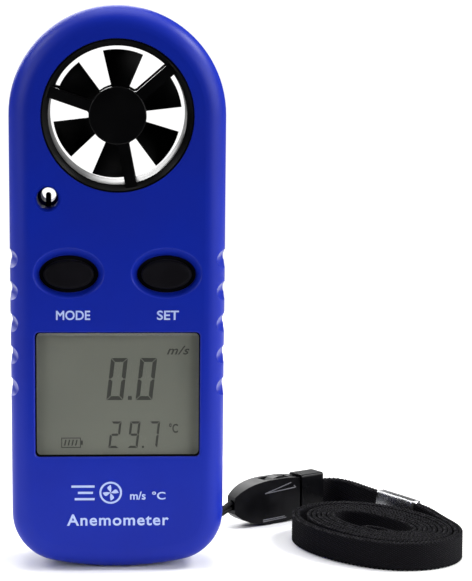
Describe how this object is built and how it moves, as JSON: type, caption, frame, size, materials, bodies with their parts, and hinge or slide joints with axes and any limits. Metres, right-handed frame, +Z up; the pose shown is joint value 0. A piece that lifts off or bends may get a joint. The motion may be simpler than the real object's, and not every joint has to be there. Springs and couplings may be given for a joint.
{
  "type": "vane anemometer",
  "caption": "Pocket vane anemometer: round-topped blue housing with a guarded fan in a through tunnel, two oval buttons, a display window and a coiled neck lanyard.",
  "frame": {"origin": "on the surface it stands on, under the middle of the housing", "axes": "+Z up along the housing's length, the front face with the display looks along -Y, +X to the right seen from the front"},
  "size_m": [0.0863, 0.0483, 0.105],
  "materials": {
    "case_blue": "satin moulded ABS",
    "black_plastic": "moulded ABS",
    "rotor_plastic": "moulded acetal",
    "button_rubber": "matte silicone",
    "buckle_plastic": "moulded acetal",
    "steel": "nickel-plated",
    "brass": "turned",
    "magnet": "sintered",
    "sensor_resin": "cast epoxy",
    "window": "clear acrylic",
    "lcd_glass": "display glass with a grey reflector",
    "rubber": "layered silicone",
    "board": "glass-epoxy laminate with solder mask",
    "component": "ceramic",
    "cell_steel": "stainless steel",
    "contact": "plated phosphor bronze",
    "cord": "braided nylon",
    "strap": "woven polyester",
    "crimp_metal": "bright nickel"
  },
  "bodies": {
    "housing": {"front_case": "case_blue", "rear_case": "case_blue", "case_screws": "steel", "board_screws": "steel", "front_guard": "black_plastic", "rear_guard": "black_plastic", "front_bush": "brass", "rear_bush": "brass", "thermistor": "sensor_resin", "display_window": "window", "display_cell": "lcd_glass", "display_frame": "black_plastic", "zebra_strips": "rubber", "button_switches": "steel", "main_board": "board", "controller_chip": "sensor_resin", "board_parts": "component", "speed_sensor": "sensor_resin", "battery_holder": "black_plastic", "coin_cell": "cell_steel", "battery_minus": "contact", "battery_plus": "contact", "lanyard_bar": "steel", "loop_cord": "cord", "buckle_socket": "buckle_plastic", "buckle_plug": "buckle_plastic", "strap_lead": "strap", "crimp": "crimp_metal", "strap_coil": "strap"},
    "impeller": {"impeller": "rotor_plastic", "impeller_shaft": "steel", "rotor_magnet": "magnet"},
    "mode_button": {"mode_button": "button_rubber"},
    "set_button": {"set_button": "button_rubber"},
    "battery_cover": {"battery_cover": "case_blue"},
    "upper_prong": {"upper_prong": "buckle_plastic"},
    "lower_prong": {"lower_prong": "buckle_plastic"}
  },
  "joints": [
    {"name": "impeller_spin", "type": "hinge", "parent": "housing", "child": "impeller", "pos_m": [0, 0, 0.085], "axis": [0, 1, 0], "continuous": true},
    {"name": "mode_press", "type": "slide", "parent": "housing", "child": "mode_button", "axis": [0, 1, 0], "range_m": [0, 0.0005], "stiffness_N_per_m": 600},
    {"name": "set_press", "type": "slide", "parent": "housing", "child": "set_button", "axis": [0, 1, 0], "range_m": [0, 0.0005], "stiffness_N_per_m": 600},
    {"name": "battery_cover_turn", "type": "hinge", "parent": "housing", "child": "battery_cover", "pos_m": [0, 0.007, 0.033], "axis": [0, 1, 0], "range_deg": [0, 45]},
    {"name": "upper_prong_squeeze", "type": "hinge", "parent": "housing", "child": "upper_prong", "pos_m": [0.03653, 0.03279, 0.0071], "axis": [0.5446, -0.8387, 0], "range_deg": [0, 5], "stiffness_Nm_per_rad": 0.05},
    {"name": "lower_prong_squeeze", "type": "hinge", "parent": "housing", "child": "lower_prong", "pos_m": [0.03653, 0.03279, 0.0024], "axis": [-0.5446, 0.8387, 0], "range_deg": [0, 5], "stiffness_Nm_per_rad": 0.05}
  ]
}
